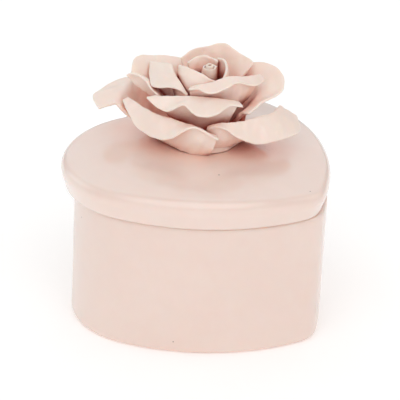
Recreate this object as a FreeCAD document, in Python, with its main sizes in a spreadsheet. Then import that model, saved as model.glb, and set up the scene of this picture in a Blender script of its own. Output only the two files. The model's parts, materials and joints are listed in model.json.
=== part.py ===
"""Heart-shaped ceramic powder jar with a loose domed lid and a hand-formed rose on top.

Row frame, millimetres: +Z up, the origin at the middle of the jar's foot, the heart's tip towards -Y.
The lid and everything on it lie in the lid's own seat, a little off the jar's centre, because the
locating ring under the lid has room to spare inside the jar.
"""

import FreeCAD, Part
import math
import os
from functools import partial
import Sketcher

VECTOR = FreeCAD.Vector
UP = VECTOR(0, 0, 1)

# Driving dimensions of the jar, the lid and the rose.
SIZES = {
    "lobe_radius": 29.5,
    "lobe_side": 18.5,          # the lobe centres stand this far either side of the middle
    "tip_radius": 11.5,
    "tip_reach": 46.5,          # from the line of the lobe centres to the tip's centre
    "flank_radius": 73.0,
    "notch_radius": 4.5,
    "jar_height": 50.5,
    "wall": 4.0,
    "floor": 5.0,
    "foot_round": 2.2,
    "rim_round": 1.0,
    "lid_overhang": 1.0,        # at the lid's lower edge
    "lid_flare": 2.8,           # at the lid's widest
    "band_height": 6.0,
    "lid_edge_round": 0.8,
    "dome_top": 66.0,
    "dome_radius": 230.0,
    "shoulder_round": 3.4,
    "cutter_rise": 13.5,        # height of the dome's cutter over the dome's top
    "ring_inset": 7.5,          # the locating ring's outside, in from the jar's outline
    "ring_wall": 3.0,
    "ring_depth": 6.0,
    "hollow_top": 60.0,
    "seat_x": -1.1,
    "seat_y": 1.9,
    "seat_turn": -1.7,
    "rose_x": -0.6,             # in the lid's own seat
    "rose_y": 5.1,
    "rose_turn": -54.8,         # the direction of heading zero, in the lid's own seat
    "core_radius": 13.5,
    "core_waist_radius": 8.5,
    "core_waist_height": 8.0,
    "core_top_radius": 4.6,
    "core_height": 15.0,
    "bud_side": 1.4,            # the rolled bud leans this far towards heading zero
    "bud_centre_radius": 0.5,   # the roll is a spiral strip of clay
    "bud_pitch": 1.1,
    "bud_turns": 1.9,
    "bud_flare": 1.9,           # how much wider the roll is at its root
    "bud_root": 13.0,
    "bud_top": 28.8,
    "bud_slant": 0.9,           # the strip's top falls this much on each turn
    "bud_thickness": 0.7,
    "petal_rim": 0.9,           # thickness at a petal's free edge
    "petal_root": 1.8,          # thickness at its root
}

PETAL_FIELDS = ("heading", "spread", "root_radius", "root_height", "belly")
RIB_FIELDS = ("fold_radius", "fold_height", "edge_radius", "edge_height")

# Each petal's heading and half spread in degrees, clockwise seen from above, the radius and height
# of its root, how far out its wall's belly lies between root and fold, and its ribs in the same
# turning direction. A rib is the radius and height of the fold and of the free edge. Radii are from
# the rose's axis, heights from the top of the lid's dome.
PETALS = {
    "inner_petal_front": (126, 66, 4.5, 12, 0.9, (
        (6.6, 22, 6.8, 25.5), (6.4, 23.2, 5.2, 27), (7, 24, 5.2, 27.4), (8, 24.5, 6.9, 28.3),
        (9.3, 23.5, 9.4, 27.3))),
    "inner_petal_back": (263, 50, 4.2, 12, 0.7, (
        (6.6, 23.5, 8, 27), (6.1, 24.5, 7.4, 28.4), (5.8, 24.5, 6.4, 29), (5.7, 24.5, 5.9, 28.6),
        (5.7, 24, 5.5, 28))),
    "inner_petal_right": (-2, 56, 4.5, 12, 0.9, (
        (6.8, 25, 6.8, 28.6), (6.8, 26, 6.6, 29.2), (6.9, 26, 6.7, 28.3), (7.3, 24.5, 7.4, 26.6),
        (7.4, 22, 7.6, 24))),
    "second_petal_left": (163, 38, 6, 10, 0.95, (
        (9.6, 20.5, 10.8, 20.2), (9.6, 22.2, 11.9, 21.4), (9.8, 24.2, 14.3, 22.2),
        (10, 25.6, 19.3, 21.6), (10.4, 26.4, 20, 22.4), (11, 26.6, 20.6, 23.6), (12, 26.8, 21.8, 25.2))),
    "second_petal_front": (58, 66, 6.4, 10, 0.7, (
        (19.2, 25.6, 21.9, 22.8), (14, 27, 18.2, 23.2), (10.2, 27.8, 14.8, 26.2), (9, 27.3, 14, 25.2),
        (8.6, 26.3, 13.6, 23.4), (8.6, 25.3, 12, 24.4), (9, 23.6, 11.2, 22.6))),
    "second_petal_right": (282, 50, 7, 10, 0.5, (
        (11, 20, 15, 25.4), (12.6, 21, 15.6, 27.9), (13.4, 22, 16.6, 28.4), (14, 22, 17.3, 30.3),
        (14, 21.5, 18, 27.6), (14, 21, 19, 26.3))),
    "second_petal_back": (213, 30, 7.5, 9, 0.5, (
        (16, 18, 26.5, 21.5), (16.5, 20, 27, 26.5), (16, 22, 24, 25.3), (15.5, 22, 21, 24.2),
        (15, 21, 19.5, 23))),
    "third_petal_left": (173, 14, 7.8, 8, 0.3, (
        (15.2, 17, 17.2, 18.6), (16.6, 18.6, 19.4, 20.4), (18.6, 21, 22.6, 23.4), (21.5, 22.2, 26, 24.2),
        (24, 18, 28, 21.8))),
    "third_petal_front": (96, 57, 8, 6, 0.5, (
        (15, 19.6, 17.9, 18.4), (12.5, 20.8, 16.3, 19.4), (10.5, 21.6, 18.2, 17), (10, 21.8, 18.4, 16.9),
        (11, 21.5, 17.8, 19.9), (14, 21.2, 20, 15.9), (19, 20, 23, 20))),
    "third_petal_right": (-15, 45, 8, 6, 0.5, (
        (15, 18, 18, 21), (17, 19.5, 22, 23), (18.5, 20.2, 26.2, 24.4), (19, 19, 28.4, 23.2),
        (18, 17.5, 27.4, 20.2), (16, 15.5, 21.6, 18.4), (14, 13.5, 18.5, 14.5))),
    "third_petal_back_left": (231, 41, 10, 5, 0.5, (
        (17, 16, 20, 17), (17, 18, 24, 18), (18, 18.5, 27, 16), (16.5, 18, 24, 17), (12.6, 15, 16, 15.5))),
    "third_petal_back_right": (296, 36, 10, 5, 0.5, (
        (15, 16, 18, 17), (17, 18, 23, 18), (18, 19, 26, 17), (17, 18, 23, 16), (15, 15, 18, 15))),
    "outer_petal_left": (128, 55, 12.5, 0.5, 0.9, (
        (17, 9, 20, 8.5), (15.5, 12, 18.5, 13), (15.5, 13, 22.5, 6.5), (20.2, 14.5, 26, 8),
        (27, 14, 29.4, 12.3))),
    "outer_petal_right": (36, 47, 10.5, 0.5, 0.9, (
        (27, 12.4, 34.4, 7.4), (24, 13.6, 34.8, 5.8), (20.5, 14.2, 31.5, 6.6), (18, 14, 25.5, 5.4),
        (16, 13.4, 21, 8.5), (14.6, 12.8, 17.2, 11.8), (13.2, 11, 14, 10.5))),
    "outer_petal_back_left": (204, 24, 12, 0.5, 0.68, (
        (31, 12.4, 37.6, 9.3), (29.6, 13, 41.2, 9.8), (30.6, 13.4, 40.6, 9.8), (31.6, 13.6, 37, 12),
        (24, 13, 28, 11))),
    "outer_petal_back_right": (282, 58, 11.5, 0.5, 0.9, (
        (18, 9, 22, 9), (20, 11, 30, 7), (20, 12, 31, 5.5), (18, 10, 26, 6), (15, 8, 18, 7.5))),
}

RIB_STATIONS = 4                # surface stations from one rib to the next
TURN_STATIONS = 16              # surface stations round one turn of the bud
ALONG = 12                      # surface steps from the root to the free edge
BELLY_HEIGHT = 0.35             # how far up the wall's belly lies between root and fold
FOLD_SHARE = 0.3                # the length of the fold, as a share of the lip
WAIST = 0.9                     # a petal's spread at its root, as a share of its full spread
WAIST_END = 0.6                 # where along the petal the full spread is reached
TOLERANCE = 1e-4                # two levels or points nearer than this are the same


def fill_sheet(doc):
    """Put every driving dimension in the spreadsheet, one aliased cell each."""
    entries = dict(SIZES)
    for name, (*values, ribs) in PETALS.items():
        for field, value in zip(PETAL_FIELDS, values):
            entries[f"{name}_{field}"] = value
        for number, rib in enumerate(ribs):
            for field, value in zip(RIB_FIELDS, rib):
                entries[f"{name}_rib{number}_{field}"] = value
    sheet = doc.addObject("Spreadsheet::Sheet", "sizes")
    for row, (alias, value) in enumerate(entries.items(), start=1):
        sheet.set(f"A{row}", alias)
        sheet.set(f"B{row}", str(value))
        sheet.setAlias(f"B{row}", alias)
    doc.recompute()
    return sheet


# ---------------------------------------------------------------- the heart outline

def angle_to(start, end):
    return math.atan2(end.y - start.y, end.x - start.x)


def heart_centres(sheet):
    """Centres of the right lobe, the tip, the right flank's arc and the notch."""
    lobe_radius = sheet.lobe_radius
    lobe_line = (sheet.tip_reach + sheet.tip_radius - lobe_radius) / 2
    lobe = VECTOR(sheet.lobe_side, lobe_line, 0)
    tip = VECTOR(0, lobe_line - sheet.tip_reach, 0)
    to_lobe = sheet.flank_radius - lobe_radius
    to_tip = sheet.flank_radius - sheet.tip_radius
    apart = lobe.distanceToPoint(tip)
    along = (to_lobe ** 2 - to_tip ** 2 + apart ** 2) / (2 * apart)
    aside = math.sqrt(to_lobe ** 2 - along ** 2)
    towards_tip = (tip - lobe).normalize()
    inwards = VECTOR(towards_tip.y, -towards_tip.x, 0)
    flank = lobe + towards_tip * along + inwards * aside
    notch_rise = math.sqrt((lobe_radius + sheet.notch_radius) ** 2 - sheet.lobe_side ** 2)
    notch = VECTOR(0, lobe_line + notch_rise, 0)
    return lobe, tip, flank, notch


def mirrored(point):
    return VECTOR(-point.x, point.y, 0)


def add_arc(sketch, centre, radius, first, last):
    while last < first:
        last += 2 * math.pi
    circle = Part.Circle(centre, UP, radius)
    return sketch.addGeometry(Part.ArcOfCircle(circle, first, last), False)


def heart_sketch(body, sheet, name, inset, level=None):
    """A closed heart of six tangent arcs, moved in by the inset expression, at a level expression."""
    inset_value = sheet.evalExpression(inset)
    lobe, tip, flank, notch = heart_centres(sheet)
    sketch = body.newObject("Sketcher::SketchObject", name)
    plane = next(item for item in body.Origin.OriginFeatures if item.Role == "XY_Plane")
    sketch.AttachmentSupport = (plane, "")
    sketch.MapMode = "FlatFace"
    if level:
        sketch.setExpression(".AttachmentOffset.Base.z", level)

    lobe_radius = sheet.lobe_radius - inset_value
    flank_radius = sheet.flank_radius - inset_value
    tip_radius = sheet.tip_radius - inset_value
    notch_radius = sheet.notch_radius + inset_value
    left_lobe = mirrored(lobe)
    left_flank = mirrored(flank)
    tip_arc = add_arc(sketch, tip, tip_radius, angle_to(left_flank, tip), angle_to(flank, tip))
    right_flank = add_arc(sketch, flank, flank_radius, angle_to(flank, tip), angle_to(flank, lobe))
    right_lobe = add_arc(sketch, lobe, lobe_radius, angle_to(flank, lobe), angle_to(lobe, notch))
    notch_arc = add_arc(sketch, notch, notch_radius, angle_to(notch, left_lobe), angle_to(notch, lobe))
    left_lobe_arc = add_arc(sketch, left_lobe, lobe_radius, angle_to(left_lobe, notch),
                            angle_to(left_flank, left_lobe))
    left_flank_arc = add_arc(sketch, left_flank, flank_radius, angle_to(left_flank, left_lobe),
                             angle_to(left_flank, tip))

    start, end, centre = 1, 2, 3
    joints = ((tip_arc, end, right_flank, start), (right_flank, end, right_lobe, start),
              (right_lobe, end, notch_arc, end), (notch_arc, start, left_lobe_arc, start),
              (left_lobe_arc, end, left_flank_arc, start), (left_flank_arc, end, tip_arc, start))
    for joint in joints:
        sketch.addConstraint(Sketcher.Constraint("Tangent", *joint))
    sketch.addConstraint(Sketcher.Constraint("Equal", right_lobe, left_lobe_arc))
    sketch.addConstraint(Sketcher.Constraint("Equal", right_flank, left_flank_arc))
    for arc in (tip_arc, notch_arc):
        sketch.addConstraint(Sketcher.Constraint("PointOnObject", arc, centre, -2))
    radii = ((right_lobe, lobe_radius, f"sizes.lobe_radius - ({inset})"),
             (right_flank, flank_radius, f"sizes.flank_radius - ({inset})"),
             (tip_arc, tip_radius, f"sizes.tip_radius - ({inset})"),
             (notch_arc, notch_radius, f"sizes.notch_radius + ({inset})"))
    for arc, value, expression in radii:
        number = sketch.addConstraint(Sketcher.Constraint("Radius", arc, value))
        sketch.setExpression(f"Constraints[{number}]", expression)
    lobe_line = "(sizes.tip_reach + sizes.tip_radius - sizes.lobe_radius) / 2"
    places = (("DistanceX", right_lobe, lobe.x, "sizes.lobe_side"),
              ("DistanceX", left_lobe_arc, left_lobe.x, "-sizes.lobe_side"),
              ("DistanceY", right_lobe, lobe.y, lobe_line),
              ("DistanceY", tip_arc, tip.y, f"{lobe_line} - sizes.tip_reach"))
    for kind, arc, value, expression in places:
        number = sketch.addConstraint(Sketcher.Constraint(kind, arc, centre, value))
        sketch.setExpression(f"Constraints[{number}]", expression)
    body.Document.recompute()
    return sketch


# ---------------------------------------------------------------- solids of one body

def new_body(doc, name):
    body = doc.addObject("PartDesign::Body", name)
    body.Label = name
    return body


def check_change(doc, body, feature, volume_sign, before):
    """Recompute and make sure that the feature really added or removed material."""
    doc.recompute()
    change = body.Shape.Volume - before
    if change * volume_sign <= 0:
        raise RuntimeError(f"{feature.Label} changed {body.Label} by {change:.1f} mm3")


def add_pad(doc, body, sketch, name, length, reversed_way=False):
    before = body.Shape.Volume if body.Tip else 0
    pad = body.newObject("PartDesign::Pad", name)
    pad.Profile = sketch
    pad.Reversed = reversed_way
    pad.setExpression("Length", length)
    check_change(doc, body, pad, 1, before)
    return pad


def add_pocket(doc, body, sketch, name, depth, reversed_way):
    before = body.Shape.Volume
    pocket = body.newObject("PartDesign::Pocket", name)
    pocket.Profile = sketch
    pocket.Reversed = reversed_way
    pocket.setExpression("Length", depth)
    check_change(doc, body, pocket, -1, before)
    return pocket


def edges_at(shape, level, outer):
    """Names of the flat edges at one height: those of the outer loop, or of the inner one."""
    found = []
    for number, edge in enumerate(shape.Edges, start=1):
        box = edge.BoundBox
        if abs(box.ZMin - level) < TOLERANCE and abs(box.ZMax - level) < TOLERANCE:
            found.append((edge, f"Edge{number}"))
    loops = Part.sortEdges([edge for edge, _ in found])
    spans = [Part.Wire(loop).BoundBox.XLength for loop in loops]
    wanted = max(spans) if outer else min(spans)
    chosen = loops[spans.index(wanted)]
    middles = [edge.CenterOfMass for edge in chosen]
    return [name for edge, name in found
            if any(edge.CenterOfMass.distanceToPoint(middle) < TOLERANCE for middle in middles)]


def add_fillet(doc, body, name, edge_names, radius):
    before = body.Shape.Volume
    base = body.Tip
    fillet = body.newObject("PartDesign::Fillet", name)
    fillet.Base = (base, edge_names)
    fillet.setExpression("Radius", radius)
    check_change(doc, body, fillet, -1, before)
    return fillet


# ---------------------------------------------------------------- the jar

def make_jar(doc, sheet):
    """Slip-cast heart-shaped jar: an even wall, a thicker floor and a flat foot."""
    body = new_body(doc, "jar_body")
    outline = heart_sketch(body, sheet, "jar_outline", "0 * sizes.wall")
    add_pad(doc, body, outline, "jar_block", "sizes.jar_height")
    inside = heart_sketch(body, sheet, "jar_inside", "sizes.wall", "sizes.jar_height")
    add_pocket(doc, body, inside, "jar_cavity", "sizes.jar_height - sizes.floor", False)
    add_fillet(doc, body, "foot_rounding", edges_at(body.Shape, 0, True), "sizes.foot_round")
    rim = edges_at(body.Shape, sheet.jar_height, True)
    add_fillet(doc, body, "rim_rounding", rim, "sizes.rim_round")
    rim = edges_at(body.Shape, sheet.jar_height, False)
    add_fillet(doc, body, "inner_rim_rounding", rim, "sizes.rim_round")
    return body


# ---------------------------------------------------------------- the lid

def dome_sketch(body, sheet):
    """Half of everything above the dome's arc, to be turned about the dome's own axis."""
    sketch = body.newObject("Sketcher::SketchObject", "dome_cut_outline")
    plane = next(item for item in body.Origin.OriginFeatures if item.Role == "XZ_Plane")
    sketch.AttachmentSupport = (plane, "")
    sketch.MapMode = "FlatFace"
    sketch.setExpression(".AttachmentOffset.Base.x", "sizes.rose_x")
    sketch.setExpression(".AttachmentOffset.Base.z", "-sizes.rose_y")
    reach = 2 * sheet.lobe_radius + sheet.lobe_side
    rise = sheet.cutter_rise
    top = sheet.dome_top
    radius = sheet.dome_radius
    drop = radius - math.sqrt(radius ** 2 - reach ** 2)
    centre = VECTOR(0, top - radius, 0)
    apex = VECTOR(0, top, 0)
    above = VECTOR(0, top + rise, 0)
    corner = VECTOR(reach, top + rise, 0)
    rim = VECTOR(reach, top - drop, 0)
    first = math.atan2(rim.y - centre.y, rim.x)
    arc = add_arc(sketch, centre, radius, first, math.pi / 2)
    axis_line = sketch.addGeometry(Part.LineSegment(apex, above), False)
    roof = sketch.addGeometry(Part.LineSegment(above, corner), False)
    side = sketch.addGeometry(Part.LineSegment(corner, rim), False)
    start, end, middle, origin, vertical = 1, 2, 3, -1, -2
    joints = ((arc, end, axis_line, start), (axis_line, end, roof, start),
              (roof, end, side, start), (side, end, arc, start))
    for joint in joints:
        sketch.addConstraint(Sketcher.Constraint("Coincident", *joint))
    sketch.addConstraint(Sketcher.Constraint("PointOnObject", arc, middle, vertical))
    sketch.addConstraint(Sketcher.Constraint("PointOnObject", axis_line, end, vertical))
    sketch.addConstraint(Sketcher.Constraint("PointOnObject", axis_line, start, vertical))
    sketch.addConstraint(Sketcher.Constraint("Horizontal", roof))
    sketch.addConstraint(Sketcher.Constraint("Vertical", side))
    number = sketch.addConstraint(Sketcher.Constraint("Radius", arc, radius))
    sketch.setExpression(f"Constraints[{number}]", "sizes.dome_radius")
    number = sketch.addConstraint(Sketcher.Constraint("DistanceY", origin, start, arc, end, top))
    sketch.setExpression(f"Constraints[{number}]", "sizes.dome_top")
    number = sketch.addConstraint(Sketcher.Constraint("DistanceY", axis_line, start, axis_line, end, rise))
    sketch.setExpression(f"Constraints[{number}]", "sizes.cutter_rise")
    number = sketch.addConstraint(Sketcher.Constraint("DistanceX", roof, start, roof, end, reach))
    sketch.setExpression(f"Constraints[{number}]", "2 * sizes.lobe_radius + sizes.lobe_side")
    body.Document.recompute()
    return sketch


def make_lid(doc, sheet):
    """Domed lid: a flared band with a rounded shoulder, and a locating ring that drops into the jar."""
    body = new_body(doc, "lid")
    lower = heart_sketch(body, sheet, "band_lower", "-sizes.lid_overhang", "sizes.jar_height")
    upper = heart_sketch(body, sheet, "band_upper", "-sizes.lid_flare",
                         "sizes.jar_height + sizes.band_height")
    band = body.newObject("PartDesign::AdditiveLoft", "flared_band")
    band.Profile = lower
    band.Sections = [upper]
    band.Ruled = True
    check_change(doc, body, band, 1, 0)
    cap = heart_sketch(body, sheet, "cap_outline", "-sizes.lid_flare",
                       "sizes.jar_height + sizes.band_height")
    add_pad(doc, body, cap, "cap_block", "sizes.dome_top - sizes.jar_height - sizes.band_height")
    before = body.Shape.Volume
    dome = body.newObject("PartDesign::Groove", "dome_cut")
    dome.Profile = dome_sketch(body, sheet)
    dome.ReferenceAxis = (dome.Profile[0], ["V_Axis"])
    dome.Angle = 360
    check_change(doc, body, dome, -1, before)
    dome_face = max(body.Shape.Faces, key=lambda face: face.CenterOfMass.z)
    add_fillet(doc, body, "shoulder_rounding", face_edges(body.Shape, dome_face),
               "sizes.shoulder_round")
    lower_edge = edges_at(body.Shape, sheet.jar_height, True)
    add_fillet(doc, body, "lower_edge_rounding", lower_edge, "sizes.lid_edge_round")
    plug = heart_sketch(body, sheet, "ring_outside", "sizes.ring_inset", "sizes.jar_height")
    add_pad(doc, body, plug, "ring_block", "sizes.ring_depth", True)
    hollow = heart_sketch(body, sheet, "ring_inside", "sizes.ring_inset + sizes.ring_wall",
                          "sizes.jar_height - sizes.ring_depth")
    add_pocket(doc, body, hollow, "lid_hollow",
               "sizes.hollow_top - sizes.jar_height + sizes.ring_depth", True)
    ring_edge = edges_at(body.Shape, sheet.jar_height - sheet.ring_depth, True)
    add_fillet(doc, body, "ring_rounding", ring_edge, "sizes.rim_round")
    body.Placement = seat_placement(sheet)
    return body


def face_edges(shape, face):
    """Names of the edges round one face, without its own seam."""
    names = []
    for number, edge in enumerate(shape.Edges, start=1):
        owners = shape.ancestorsOfType(edge, Part.Face)
        if len(owners) == 2 and any(owner.isSame(face) for owner in owners):
            names.append(f"Edge{number}")
    return names


def seat_placement(sheet):
    """Where the lid lies: shifted and turned a little inside the locating ring's clearance."""
    turn = FreeCAD.Rotation(UP, sheet.seat_turn)
    return FreeCAD.Placement(VECTOR(sheet.seat_x, sheet.seat_y, 0), turn)


def rose_placement(sheet):
    """The rose's frame: its axis through the dome's top, heading zero along its own +X."""
    turn = FreeCAD.Rotation(UP, sheet.rose_turn)
    place = VECTOR(sheet.rose_x, sheet.rose_y, sheet.dome_top)
    return seat_placement(sheet).multiply(FreeCAD.Placement(place, turn))


# ---------------------------------------------------------------- the rose

def make_core(doc, sheet):
    """Clay cone that the petals are luted to; its underside follows the lid's dome."""
    body = new_body(doc, "rose_core")
    sketch = body.newObject("Sketcher::SketchObject", "core_profile")
    plane = next(item for item in body.Origin.OriginFeatures if item.Role == "XZ_Plane")
    sketch.AttachmentSupport = (plane, "")
    sketch.MapMode = "FlatFace"
    radius = sheet.dome_radius
    foot = sheet.core_radius
    drop = radius - math.sqrt(radius ** 2 - foot ** 2)
    step = sheet.petal_root
    corners = (VECTOR(foot, -drop, 0), VECTOR(foot, step, 0),
               VECTOR(sheet.core_waist_radius, sheet.core_waist_height, 0),
               VECTOR(sheet.core_top_radius, sheet.core_height, 0), VECTOR(0, sheet.core_height, 0),
               VECTOR(0, 0, 0))
    lines = [sketch.addGeometry(Part.LineSegment(a, b), False) for a, b in zip(corners, corners[1:])]
    centre = VECTOR(0, -radius, 0)
    underside = add_arc(sketch, centre, radius, math.atan2(radius - drop, foot), math.pi / 2)
    start, end, middle, origin, vertical = 1, 2, 3, -1, -2
    for first, second in zip(lines, lines[1:]):
        sketch.addConstraint(Sketcher.Constraint("Coincident", first, end, second, start))
    sketch.addConstraint(Sketcher.Constraint("Coincident", lines[-1], end, underside, end))
    sketch.addConstraint(Sketcher.Constraint("Coincident", underside, start, lines[0], start))
    sketch.addConstraint(Sketcher.Constraint("Coincident", lines[-1], end, origin, start))
    sketch.addConstraint(Sketcher.Constraint("PointOnObject", underside, middle, vertical))
    sketch.addConstraint(Sketcher.Constraint("Vertical", lines[0]))
    sketch.addConstraint(Sketcher.Constraint("Horizontal", lines[3]))
    sketch.addConstraint(Sketcher.Constraint("Vertical", lines[4]))
    number = sketch.addConstraint(Sketcher.Constraint("Radius", underside, radius))
    sketch.setExpression(f"Constraints[{number}]", "sizes.dome_radius")
    places = (("DistanceX", lines[0], foot, "sizes.core_radius"),
              ("DistanceY", lines[0], step, "sizes.petal_root"),
              ("DistanceX", lines[1], sheet.core_waist_radius, "sizes.core_waist_radius"),
              ("DistanceY", lines[1], sheet.core_waist_height, "sizes.core_waist_height"),
              ("DistanceX", lines[2], sheet.core_top_radius, "sizes.core_top_radius"),
              ("DistanceY", lines[2], sheet.core_height, "sizes.core_height"))
    for kind, line, value, expression in places:
        number = sketch.addConstraint(Sketcher.Constraint(kind, line, end, value))
        sketch.setExpression(f"Constraints[{number}]", expression)
    doc.recompute()
    turned = body.newObject("PartDesign::Revolution", "core_turned")
    turned.Profile = sketch
    turned.ReferenceAxis = (sketch, ["V_Axis"])
    turned.Angle = 360
    check_change(doc, body, turned, 1, 0)
    body.Placement = rose_placement(sheet)
    return body


def spline(values, place):
    """A smooth curve through evenly spaced values, read at a place counted in values."""
    last = len(values) - 1
    number = min(int(place), last - 1)
    share = place - number
    here, after = values[number], values[number + 1]
    before = values[number - 1] if number > 0 else 2 * here - after
    beyond = values[number + 2] if number + 2 <= last else 2 * after - here
    return 0.5 * (2 * here + (after - before) * share
                  + (2 * before - 5 * here + 4 * after - beyond) * share ** 2
                  + (3 * here - before - 3 * after + beyond) * share ** 3)


def profile(points, along):
    """A smooth quadratic curve that leaves the first point and ends at the last."""
    joins = [points[0]]
    for near, far in zip(points[1:-2], points[2:-1]):
        joins.append((near + far) / 2)
    joins.append(points[-1])
    spans = len(joins) - 1
    number = min(int(along * spans), spans - 1)
    share = along * spans - number
    return (joins[number] * (1 - share) ** 2 + points[number + 1] * (2 * share * (1 - share))
            + joins[number + 1] * share ** 2)


def petal_point(sizes, across, along):
    """A point of the petal's inner face: across runs from -1 to 1, along from 0 at the root to 1."""
    ribs = sizes["ribs"]
    place = (across + 1) / 2 * (len(ribs) - 1)
    fold_radius, fold_height, edge_radius, edge_height = (
        spline(column, place) for column in zip(*ribs))
    root = VECTOR(sizes["root_radius"], 0, sizes["root_height"])
    fold = VECTOR(fold_radius, 0, fold_height)
    edge = VECTOR(edge_radius, 0, edge_height)
    belly = VECTOR(root.x + (fold.x - root.x) * sizes["belly"], 0,
                   root.z + (fold.z - root.z) * BELLY_HEIGHT)
    turn_end = fold + (edge - fold) * FOLD_SHARE
    section = profile((root, belly, fold, turn_end, edge), along)
    width = WAIST + (1 - WAIST) * math.sin(min(1, along / WAIST_END) * math.pi / 2)
    heading = -math.radians(sizes["heading"] + sizes["spread"] * across * width)
    return VECTOR(section.x * math.cos(heading), section.x * math.sin(heading), section.z)


def bud_point(sizes, across, along):
    """A point of the bud's inner face, on a spiral that opens with each turn."""
    turn = (across + 1) / 2 * sizes["turns"]
    radius = sizes["centre_radius"] + sizes["pitch"] * turn + sizes["flare"] * (1 - along)
    top = sizes["top"] - sizes["slant"] * turn
    heading = -2 * math.pi * turn
    height = sizes["root"] + (top - sizes["root"]) * along
    return VECTOR(sizes["side"] + radius * math.cos(heading), radius * math.sin(heading), height)


def inward(point_at, across, along):
    """The direction square to a sheet, towards the rose's axis on the wall and up on the lip."""
    step = 1e-3
    sideways = point_at(across + step, along) - point_at(across - step, along)
    outwards = point_at(across, min(1, along + step)) - point_at(across, max(0, along - step))
    return sideways.cross(outwards).normalize()


def even_knots(poles):
    """Degree, knots and multiplicities of an evenly spaced clamped spline with this many poles."""
    degree = min(3, poles - 1)
    spans = poles - degree
    return degree, list(range(spans + 1)), [degree + 1] + [1] * (spans - 1) + [degree + 1]


def smooth_face(rows):
    """A spline face whose poles are the rows of points."""
    u_degree, u_knots, u_counts = even_knots(len(rows))
    v_degree, v_knots, v_counts = even_knots(len(rows[0]))
    surface = Part.BSplineSurface()
    surface.buildFromPolesMultsKnots(rows, u_counts, v_counts, u_knots, v_knots, False, False,
                                     u_degree, v_degree)
    return surface.toShape()


def sheet_solid(point_at, stations, root_thickness, rim_thickness):
    """A thin sheet of clay that thins from its root to its free edge."""
    inner_rows, outer_rows = [], []
    for i in range(stations + 1):
        across = -1 + 2 * i / stations
        inner_row, outer_row = [], []
        for j in range(ALONG + 1):
            along = j / ALONG
            thickness = root_thickness + (rim_thickness - root_thickness) * along
            point = point_at(across, along)
            inner_row.append(point)
            outer_row.append(point - inward(point_at, across, along) * thickness)
        inner_rows.append(inner_row)
        outer_rows.append(outer_row)
    borders = [(inner_rows[0], outer_rows[0]), (inner_rows[-1], outer_rows[-1])]
    for j in (0, -1):
        borders.append(([row[j] for row in inner_rows], [row[j] for row in outer_rows]))
    faces = [smooth_face(inner_rows), smooth_face(outer_rows)]
    faces += [smooth_face([list(pair) for pair in zip(*border)]) for border in borders]
    shell = Part.makeShell(faces)
    shell.sewShape()
    solid = Part.makeSolid(Part.Shell(shell.Faces))
    return solid if solid.Volume > 0 else solid.reversed()


def petal_sizes(sheet, name):
    """One petal's dimensions, read from the sheet."""
    ribs = []
    while hasattr(sheet, f"{name}_rib{len(ribs)}_{RIB_FIELDS[0]}"):
        ribs.append([sheet.get(f"{name}_rib{len(ribs)}_{field}") for field in RIB_FIELDS])
    return {"ribs": ribs, **{field: sheet.get(f"{name}_{field}") for field in PETAL_FIELDS}}


def rose_part(doc, sheet, name, shape):
    part = doc.addObject("Part::Feature", name)
    part.Label = name
    part.Shape = shape
    part.Placement = rose_placement(sheet)
    return part


def make_bud(doc, sheet):
    """The tightly rolled strip at the rose's heart."""
    fields = ("side", "centre_radius", "pitch", "turns", "flare", "root", "top", "slant")
    sizes = {field: sheet.get(f"bud_{field}") for field in fields}
    stations = round(TURN_STATIONS * sizes["turns"])
    thickness = sheet.bud_thickness
    solid = sheet_solid(partial(bud_point, sizes), stations, thickness, thickness)
    return rose_part(doc, sheet, "bud_roll", solid)


def make_petal(doc, sheet, name):
    sizes = petal_sizes(sheet, name)
    stations = RIB_STATIONS * (len(sizes["ribs"]) - 1)
    solid = sheet_solid(partial(petal_point, sizes), stations, sheet.petal_root, sheet.petal_rim)
    return rose_part(doc, sheet, name, solid)


# ---------------------------------------------------------------- check and write

def check(doc, parts):
    for item in doc.Objects:
        if "Invalid" in item.State or "Error" in item.State:
            raise RuntimeError(f"{item.Label} failed: {item.State}")
    for part in parts:
        shape = part.Shape
        if shape.isNull() or not shape.isValid() or shape.Volume <= 0 or len(shape.Solids) != 1:
            raise RuntimeError(f"{part.Label} isn't one valid solid")


def main():
    doc = FreeCAD.newDocument("powder_jar")
    sheet = fill_sheet(doc)
    parts = [make_jar(doc, sheet), make_lid(doc, sheet), make_core(doc, sheet), make_bud(doc, sheet)]
    parts += [make_petal(doc, sheet, name) for name in PETALS]
    doc.recompute()
    check(doc, parts)
    os.makedirs("parts", exist_ok=True)
    for part in parts:
        part.Shape.exportStep(f"parts/{part.Label}.step")
        print(part.Label, round(part.Shape.Volume, 1), "mm3")


main()
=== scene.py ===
"""Looks of a heart-shaped ceramic powder jar whose lid carries a hand-formed rose.

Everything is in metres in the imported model's frame: +Z up, the jar's foot on the floor at the origin, the
heart's tip towards -Y. Each piece starts from its own CAD node, so it lies where the frame has it.
"""

import json
import math

import bpy
import numpy as np
from mathutils import Matrix, Vector


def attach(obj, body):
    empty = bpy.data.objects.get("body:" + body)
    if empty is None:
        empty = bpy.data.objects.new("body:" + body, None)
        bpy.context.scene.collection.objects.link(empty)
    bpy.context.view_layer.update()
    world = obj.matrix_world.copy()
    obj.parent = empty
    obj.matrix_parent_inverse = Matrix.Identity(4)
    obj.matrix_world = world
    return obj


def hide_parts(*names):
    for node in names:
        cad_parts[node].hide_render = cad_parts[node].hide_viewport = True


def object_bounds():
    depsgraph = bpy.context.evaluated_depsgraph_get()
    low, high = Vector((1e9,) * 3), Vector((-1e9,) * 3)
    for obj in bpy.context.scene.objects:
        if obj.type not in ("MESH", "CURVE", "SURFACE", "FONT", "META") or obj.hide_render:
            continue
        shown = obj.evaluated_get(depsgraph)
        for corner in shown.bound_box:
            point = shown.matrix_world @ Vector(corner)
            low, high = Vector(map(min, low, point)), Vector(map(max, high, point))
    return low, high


MM = 0.001
SCENE = bpy.context.scene

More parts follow.
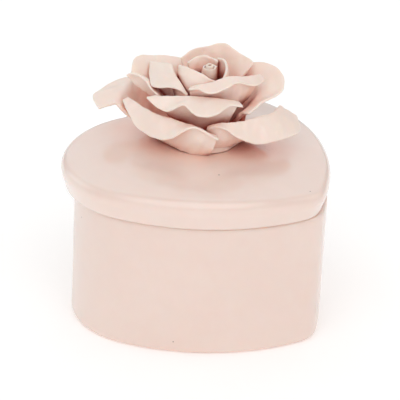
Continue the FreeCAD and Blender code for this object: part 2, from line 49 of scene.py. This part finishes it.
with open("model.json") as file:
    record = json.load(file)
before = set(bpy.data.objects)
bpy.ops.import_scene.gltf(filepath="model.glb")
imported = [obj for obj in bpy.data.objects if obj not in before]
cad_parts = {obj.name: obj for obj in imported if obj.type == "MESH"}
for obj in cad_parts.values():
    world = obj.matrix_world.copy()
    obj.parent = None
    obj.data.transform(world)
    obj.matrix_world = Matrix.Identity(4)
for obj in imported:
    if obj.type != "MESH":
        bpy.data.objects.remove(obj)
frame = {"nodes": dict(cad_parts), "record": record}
cad_low, cad_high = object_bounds()
cad_middle = (cad_low + cad_high) / 2
node_body = {node: body for body, nodes in frame["record"]["behaviour"]["bodies"].items()
             for node in nodes}

# The camera: its direction and roll, the point it looks at, from the middle of the CAD box, and how far
# it sees.
VIEW_AZIMUTH = math.radians(-56.5)
VIEW_ELEVATION = math.radians(27.2)
VIEW_ROLL = math.radians(3.1)
VIEW_DISTANCE = 900 * MM
VIEW_LENS = 223.3
VIEW_AIM = Vector((-3.17, 2.88, -6.1)) * MM
VIEW_REACH = 50

# How finely each kind of piece is rebuilt, and how much its edges are softened.
BODY_VOXEL = 0.6 * MM
BODY_SMOOTHINGS = 4
PETAL_VOXEL = 0.3 * MM
PETAL_SMOOTHINGS = 5
BUD_VOXEL = 0.12 * MM
SMOOTHING = 0.5

# Unevenness left by casting and by hand, in layers of WAVES crossing waves: wavelength and strength of each
# layer, and the seed of the first.
BODY_WANDER = ((70 * MM, 0.22 * MM), (26 * MM, 0.06 * MM))
BODY_SEED = 11
PETAL_WANDER = ((16 * MM, 0.22 * MM), (6 * MM, 0.09 * MM))
PETAL_SEED = 21
PETAL_DENTS = (3.2 * MM, 0.05 * MM)
DENT_SEED = 31
WAVES = 9

# Glaze and clay colours, linear.
JAR_GLAZE = (0.832, 0.661, 0.587)
LID_GLAZE = (0.850, 0.676, 0.600)
PETAL_GLAZE = (0.925, 0.758, 0.672)
# Painted shade, in part glaze that pools pinker: the tint laid in places that are half closed in.
POOLED_GLAZE_AND_SHADE = (0.970, 0.670, 0.555)
# Painted shade: the dark red-brown laid in the narrowest gaps. The glaze's random tone also leans a little
# towards it.
DEEP_GLAZE_AND_SHADE = (0.420, 0.060, 0.035)
GLAZE_THIN = (0.900, 0.815, 0.760)
BARE_CLAY = (0.860, 0.740, 0.660)
SPECK = (0.10, 0.055, 0.035)

# Layers of noise in the glaze: features a metre, detail, and what each adds to its material's seed.
DRIFT = (28, 2, 0)
MOTTLE = (170, 3, 3)
GRAIN = (1400, 2, 7)
RIPPLE = (240, 1, 9)

# The glaze's tone is part drift and part mottle. Over the tone's range the colour goes from a little
# towards deep glaze to a little towards thin glaze.
DRIFT_SHARE = 0.6
MOTTLE_SHARE = 0.4
TONE_RANGE = (0.36, 0.64)
DEEPER_SHARE = 0.02
LIGHTER_SHARE = 0.08

# Pointiness over which the glaze thins along edges, and how far it thins.
EDGE_RANGE = (0.52, 0.60)
EDGE_THINNING = 0.7

# Rays that find how open a place is, which sets where shade is painted.
OPENNESS_SAMPLES = 8

# Dark iron specks: cells a metre, the share of cells that hold one, its radius in cells, the part of that
# radius that is full dark, and a step so small that a cell either holds a speck or doesn't.
SPECK_CELLS = 250
SPECK_SHARE = 0.03
SPECK_RADIUS = 0.08
SPECK_CORE = 0.6
SPECK_STEP = 0.001

# The jar's bare foot: how far the glaze line wavers, how soft it is, and how rough the clay is.
GLAZE_LINE_WAVE = 0.3 * MM
GLAZE_LINE_FADE = 0.25 * MM
BARE_ROUGHNESS = 0.85

# The satin surface.
GLAZE_ROUGHNESS = (0.30, 0.40)
GRAIN_HEIGHT = 0.012 * MM
RIPPLE_HEIGHT = 0.05 * MM
SATIN = {
    "Subsurface Weight": 0.4,
    "Subsurface Radius": (1.0, 0.5, 0.35),
    "Subsurface Scale": 2.0 * MM,
    "Coat Roughness": 0.16,
    "Coat IOR": 1.8,
}

# The pale sweep the jar stands on. It glows a little, so that it stays white.
FLOOR_HALF_WIDTH = 8.0
FLOOR_COLOUR = (0.93, 0.93, 0.93)
FLOOR_SHADE = 0.985
FLOOR_DRIFT = (6, 2, 0)
FLOOR_FINISH = {
    "Roughness": 0.9,
    "Specular IOR Level": 0.1,
    "Emission Color": (1, 1, 1, 1),
    "Emission Strength": 0.18,
}

# The pale clay passes light on many times inside the rose.
LIGHT_BOUNCES = 12

# The white room: its brightness at the horizon and overhead.
SKY_COLOUR = (1, 1, 1, 1)
SKY_LOW = 0.46
SKY_HIGH = 0.60

# Azimuth and elevation in degrees, distance and size in metres, power in watts, and colour.
SOFTBOXES = {
    "front_softbox": (-60, 45, 1.4, 1.9, 10.2, (1.0, 0.985, 0.975)),
    "back_softbox": (123, 40, 1.3, 1.5, 3.0, (1.0, 1.0, 1.0)),
    "left_softbox": (-165, 25, 0.9, 0.6, 0.9, (0.80, 0.96, 1.0)),
    "right_softbox": (40, 30, 0.9, 0.6, 0.8, (1.0, 0.96, 0.92)),
}


# ---------------------------------------------------------------- shader helpers

def new_material(name):
    material = bpy.data.materials.new(name)
    material.use_nodes = True
    tree = material.node_tree
    shader = tree.nodes["Principled BSDF"]
    return material, tree, shader


def set_sockets(shader, values):
    for socket, value in values.items():
        shader.inputs[socket].default_value = value


def add(tree, kind, **settings):
    """A shader node; settings name its properties, or its input sockets with spaces as underscores."""
    node = tree.nodes.new(kind)
    for key, value in settings.items():
        socket = node.inputs.get(key.replace("_", " "))
        if socket is not None:
            socket.default_value = value
        else:
            setattr(node, key, value)
    return node


def object_place(tree):
    return add(tree, "ShaderNodeTexCoord").outputs["Object"]


def noise(tree, place, layer, seed=0.0):
    """Soft noise between 0 and 1; a layer is its features a metre, its detail and its own seed."""
    scale, detail, own_seed = layer
    node = add(tree, "ShaderNodeTexNoise", noise_dimensions="4D", Scale=scale, Detail=detail,
               W=seed + own_seed)
    tree.links.new(place, node.inputs["Vector"])
    return node.outputs["Fac"]


def between(tree, value, start, full):
    """0 up to start, 1 from full on and smooth between them; start may be the larger of the two."""
    node = add(tree, "ShaderNodeMapRange", interpolation_type="SMOOTHSTEP", From_Min=start, From_Max=full)
    tree.links.new(value, node.inputs["Value"])
    return node.outputs["Result"]


def spread(tree, value, low, high):
    """A value that runs from 0 to 1, made to run from low to high."""
    node = add(tree, "ShaderNodeMapRange", To_Min=low, To_Max=high)
    tree.links.new(value, node.inputs["Value"])
    return node.outputs["Result"]


def scaled(tree, value, factor):
    node = add(tree, "ShaderNodeMath", operation="MULTIPLY")
    tree.links.new(value, node.inputs[0])
    node.inputs[1].default_value = factor
    return node.outputs[0]


def combined(tree, operation, first, second):
    node = add(tree, "ShaderNodeMath", operation=operation)
    tree.links.new(first, node.inputs[0])
    tree.links.new(second, node.inputs[1])
    return node.outputs[0]


def mixed(tree, share, first, second):
    """Colour first where share is 0 and second where it is 1; a colour is a socket or three numbers."""
    node = add(tree, "ShaderNodeMix", data_type="RGBA")
    tree.links.new(share, node.inputs["Factor"])
    first_socket, second_socket = (socket for socket in node.inputs if socket.type == "RGBA")
    for colour, socket in ((first, first_socket), (second, second_socket)):
        if isinstance(colour, bpy.types.NodeSocket):
            tree.links.new(colour, socket)
        else:
            socket.default_value = (*colour, 1)
    return next(socket for socket in node.outputs if socket.type == "RGBA")


def blended(first, second, share):
    """The colour of three numbers that is this share of the way from first to second."""
    return tuple(a * (1 - share) + b * share for a, b in zip(first, second))


# ---------------------------------------------------------------- materials

def specks(tree, place):
    """1 inside a few tiny round specks."""
    node = add(tree, "ShaderNodeTexVoronoi", Scale=SPECK_CELLS)
    tree.links.new(place, node.inputs["Vector"])
    near = between(tree, node.outputs["Distance"], SPECK_RADIUS, SPECK_RADIUS * SPECK_CORE)
    pick = add(tree, "ShaderNodeSeparateColor")
    tree.links.new(node.outputs["Color"], pick.inputs["Color"])
    threshold = 1 - SPECK_SHARE
    chosen = between(tree, pick.outputs["Red"], threshold, threshold + SPECK_STEP)
    return combined(tree, "MULTIPLY", near, chosen)


def glaze_and_shade_colour(tree, place, mottle, seed, glaze, recess, pooling_and_shade, shaded, deep):
    """The glaze drifts and mottles, thins over sharp edges and holds a few specks; recesses get painted
    shade, in part glaze that pools pinker.
    """
    drift = noise(tree, place, DRIFT, seed)
    tone = combined(tree, "ADD", scaled(tree, drift, DRIFT_SHARE), scaled(tree, mottle, MOTTLE_SHARE))
    colour = mixed(tree, between(tree, tone, *TONE_RANGE), blended(glaze, DEEP_GLAZE_AND_SHADE, DEEPER_SHARE),
                   blended(glaze, GLAZE_THIN, LIGHTER_SHARE))

    thin = between(tree, add(tree, "ShaderNodeNewGeometry").outputs["Pointiness"], *EDGE_RANGE)
    colour = mixed(tree, scaled(tree, thin, EDGE_THINNING), colour, GLAZE_THIN)

    # Painted shade: the less open a place is, the more its colour goes to the pinker and then to the dark
    # tint; in part this is glaze that pools.
    around = add(tree, "ShaderNodeAmbientOcclusion", Distance=recess, samples=OPENNESS_SAMPLES)
    for openness, tint in ((shaded, POOLED_GLAZE_AND_SHADE), (deep, DEEP_GLAZE_AND_SHADE)):
        pool_and_shade_amount = between(tree, around.outputs["AO"], *openness)
        colour = mixed(tree, scaled(tree, pool_and_shade_amount, pooling_and_shade), colour, tint)
    return mixed(tree, specks(tree, place), colour, SPECK)


def bare_clay(tree, place, mottle, glaze_line):
    """1 on the bare foot under the height where the glaze ends, which wavers."""
    level = add(tree, "ShaderNodeSeparateXYZ")
    tree.links.new(place, level.inputs["Vector"])
    wavy = combined(tree, "ADD", level.outputs["Z"], scaled(tree, mottle, GLAZE_LINE_WAVE))
    return between(tree, wavy, glaze_line, glaze_line - GLAZE_LINE_FADE)


def bumped(tree, height, distance, under=None):
    """The normal over a height; under is the normal of the layer below."""
    bump = add(tree, "ShaderNodeBump", Strength=1.0, Distance=distance)
    tree.links.new(height, bump.inputs["Height"])
    if under is not None:
        tree.links.new(under, bump.inputs["Normal"])
    return bump.outputs["Normal"]


def glazed_clay(name, seed, glaze, gloss, recess, pooling_and_shade, shaded, deep, unglazed_below=None):
    """Pale pink satin glaze over clay: it thins over sharp edges, and its recesses get painted shade, in
    part glaze that pools pinker.

    recess is how far off a wall still counts as near, and pooling is how strong the tints of painted shade
    are.
    shaded and deep are each the openness where that tint starts and where it is full.
    """
    material, tree, shader = new_material(name)
    place = object_place(tree)
    mottle = noise(tree, place, MOTTLE, seed)
    colour = glaze_and_shade_colour(tree, place, mottle, seed, glaze, recess, pooling_and_shade, shaded, deep)
    rough = spread(tree, mottle, *GLAZE_ROUGHNESS)
    if unglazed_below is not None:
        bare = bare_clay(tree, place, mottle, unglazed_below)
        colour = mixed(tree, bare, colour, BARE_CLAY)
        rough = combined(tree, "MAXIMUM", rough, scaled(tree, bare, BARE_ROUGHNESS))

    grain = bumped(tree, noise(tree, place, GRAIN, seed), GRAIN_HEIGHT)
    ripple = bumped(tree, noise(tree, place, RIPPLE, seed), RIPPLE_HEIGHT, under=grain)
    tree.links.new(ripple, shader.inputs["Normal"])
    tree.links.new(colour, shader.inputs["Base Color"])
    tree.links.new(rough, shader.inputs["Roughness"])
    set_sockets(shader, SATIN)
    shader.inputs["Coat Weight"].default_value = gloss
    return material


def floor_material():
    material, tree, shader = new_material("pale_sweep")
    tone = noise(tree, object_place(tree), FLOOR_DRIFT)
    darker = tuple(c * FLOOR_SHADE for c in FLOOR_COLOUR)
    tree.links.new(mixed(tree, tone, darker, FLOOR_COLOUR), shader.inputs["Base Color"])
    set_sockets(shader, FLOOR_FINISH)
    return material


# ---------------------------------------------------------------- pieces

def wander(points, wavelength, seed):
    """A smooth push for each point, from a few crossing waves, about one unit strong."""
    draws = np.random.default_rng(seed)
    directions = draws.normal(size=(WAVES, 3))
    directions /= np.linalg.norm(directions, axis=1)[:, None]
    phases = draws.uniform(0, 2 * math.pi, WAVES)
    pushes = draws.normal(size=(WAVES, 3))
    waves = np.sin(points @ directions.T * (2 * math.pi / wavelength) + phases)
    return waves @ pushes / WAVES ** 0.5


def remeshed(node, voxel, smoothings):
    """A new piece with the node's shape in small even faces, its sharp edges softened."""
    source = bpy.data.objects.new("source", frame["nodes"][node].data.copy())
    SCENE.collection.objects.link(source)
    even = source.modifiers.new("even", "REMESH")
    even.mode = "VOXEL"
    even.voxel_size = voxel
    even.use_smooth_shade = True
    soft = source.modifiers.new("soft", "SMOOTH")
    soft.factor = SMOOTHING
    soft.iterations = smoothings
    graph = bpy.context.evaluated_depsgraph_get()
    mesh = bpy.data.meshes.new_from_object(source.evaluated_get(graph))
    bpy.data.objects.remove(source)
    mesh.materials.clear()
    piece = bpy.data.objects.new(f"{node}_glazed", mesh)
    SCENE.collection.objects.link(piece)
    return piece


def read_points(mesh, field="co"):
    values = np.empty(len(mesh.vertices) * 3, np.float32)
    mesh.vertices.foreach_get(field, values)
    return values.reshape(-1, 3).astype(float)


def write_points(mesh, points):
    mesh.vertices.foreach_set("co", points.astype(np.float32).ravel())
    mesh.update()


def finish_piece(piece, node, material):
    piece.data.materials.append(material)
    for face in piece.data.polygons:
        face.use_smooth = True
    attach(piece, node_body[node])
    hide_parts(node)


def cast_piece(node, material):
    """The jar or the lid: slip-cast, so its faces wander a little, mostly inwards."""
    piece = remeshed(node, BODY_VOXEL, BODY_SMOOTHINGS)
    points = read_points(piece.data)
    sideways = read_points(piece.data, "normal") * (1, 1, 0)
    for layer, (wavelength, strength) in enumerate(BODY_WANDER):
        inwards = (wander(points, wavelength, BODY_SEED + layer)[:, :1] - 1) / 2
        points = points + sideways * inwards * strength
    write_points(piece.data, points)
    finish_piece(piece, node, material)


def hand_formed_piece(node, material, voxel=PETAL_VOXEL):
    """A part of the rose: the clay wanders with its neighbours, and fingers left faint dents."""
    piece = remeshed(node, voxel, PETAL_SMOOTHINGS)
    points = read_points(piece.data)
    normals = read_points(piece.data, "normal")
    wavelength, depth = PETAL_DENTS
    points = points + normals * wander(points, wavelength, DENT_SEED)[:, :1] * depth
    for layer, (wavelength, strength) in enumerate(PETAL_WANDER):
        points = points + wander(points, wavelength, PETAL_SEED + layer) * strength
    write_points(piece.data, points)
    finish_piece(piece, node, material)


# ---------------------------------------------------------------- the scene round it

def direction(azimuth, elevation):
    """Out from the object: azimuth 0 is towards -Y and 90 degrees towards +X."""
    return Vector((math.sin(azimuth) * math.cos(elevation), -math.cos(azimuth) * math.cos(elevation),
                   math.sin(elevation)))


def add_floor():
    half = FLOOR_HALF_WIDTH
    corners = [(-half, -half, 0), (half, -half, 0), (half, half, 0), (-half, half, 0)]
    mesh = bpy.data.meshes.new("floor")
    mesh.from_pydata(corners, [], [(0, 1, 2, 3)])
    floor = bpy.data.objects.new("floor", mesh)
    floor.data.materials.append(floor_material())
    SCENE.collection.objects.link(floor)


def add_camera():
    back = direction(VIEW_AZIMUTH, VIEW_ELEVATION)
    level = Vector((math.cos(VIEW_AZIMUTH), math.sin(VIEW_AZIMUTH), 0))
    upright = back.cross(level)
    right = level * math.cos(VIEW_ROLL) + upright * math.sin(VIEW_ROLL)
    up = upright * math.cos(VIEW_ROLL) - level * math.sin(VIEW_ROLL)
    turn = Matrix((right, up, back)).transposed().to_4x4()

    camera = bpy.data.objects.new("camera", bpy.data.cameras.new("camera"))
    camera.data.lens = VIEW_LENS
    camera.data.clip_end = VIEW_REACH
    camera.matrix_world = Matrix.Translation(cad_middle + VIEW_AIM + back * VIEW_DISTANCE) @ turn
    SCENE.collection.objects.link(camera)
    SCENE.camera = camera


def add_sky():
    """The white room, a little brighter overhead than at the horizon."""
    world = bpy.data.worlds.new("white_room")
    world.use_nodes = True
    tree = world.node_tree
    height = add(tree, "ShaderNodeSeparateXYZ")
    tree.links.new(add(tree, "ShaderNodeTexCoord").outputs["Generated"], height.inputs["Vector"])
    background = tree.nodes["Background"]
    tree.links.new(spread(tree, height.outputs["Z"], SKY_LOW, SKY_HIGH), background.inputs["Strength"])
    background.inputs["Color"].default_value = SKY_COLOUR
    SCENE.world = world


def add_softbox(name, azimuth, elevation, distance, size, power, colour):
    """A square soft light round the object, facing it."""
    away = direction(math.radians(azimuth), math.radians(elevation))
    light = bpy.data.objects.new(name, bpy.data.lights.new(name, "AREA"))
    light.data.size = size
    light.data.energy = power
    light.data.color = colour
    light.location = cad_middle + away * distance
    light.rotation_mode = "QUATERNION"
    light.rotation_quaternion = away.to_track_quat("Z", "Y")
    SCENE.collection.objects.link(light)


# Painted shade through the openness tints: on the lid it reaches far enough to paint the rose's shade onto
# the dome round its foot, on the rose it darkens the gaps between the petals, and on the jar it darkens
# tight corners and narrow gaps.
jar_glaze = glazed_clay("jar_glaze", seed=1.0, glaze=JAR_GLAZE, gloss=0.6, recess=2 * MM, pooling_and_shade=0.4,
                        shaded=(0.6, 0.22), deep=(0.28, 0.04), unglazed_below=0.5 * MM)
lid_glaze = glazed_clay("lid_glaze", seed=5.0, glaze=LID_GLAZE, gloss=1.0, recess=16 * MM, pooling_and_shade=0.8,
                        shaded=(0.8, 0.22), deep=(0.28, 0.04))
rose_glaze = glazed_clay("rose_glaze", seed=9.0, glaze=PETAL_GLAZE, gloss=0.3, recess=14 * MM, pooling_and_shade=1.0,
                         shaded=(0.72, 0.34), deep=(0.31, 0.11))

cast_piece("jar_body", jar_glaze)
cast_piece("lid", lid_glaze)
hand_formed_piece("bud_roll", rose_glaze, BUD_VOXEL)
for rose_node in sorted(set(frame["nodes"]) - {"jar_body", "lid", "bud_roll"}):
    hand_formed_piece(rose_node, rose_glaze)

add_floor()
add_camera()
add_sky()
for softbox, settings in SOFTBOXES.items():
    add_softbox(softbox, *settings)
SCENE.view_settings.view_transform = "Standard"
SCENE.cycles.diffuse_bounces = LIGHT_BOUNCES
SCENE.cycles.max_bounces = LIGHT_BOUNCES
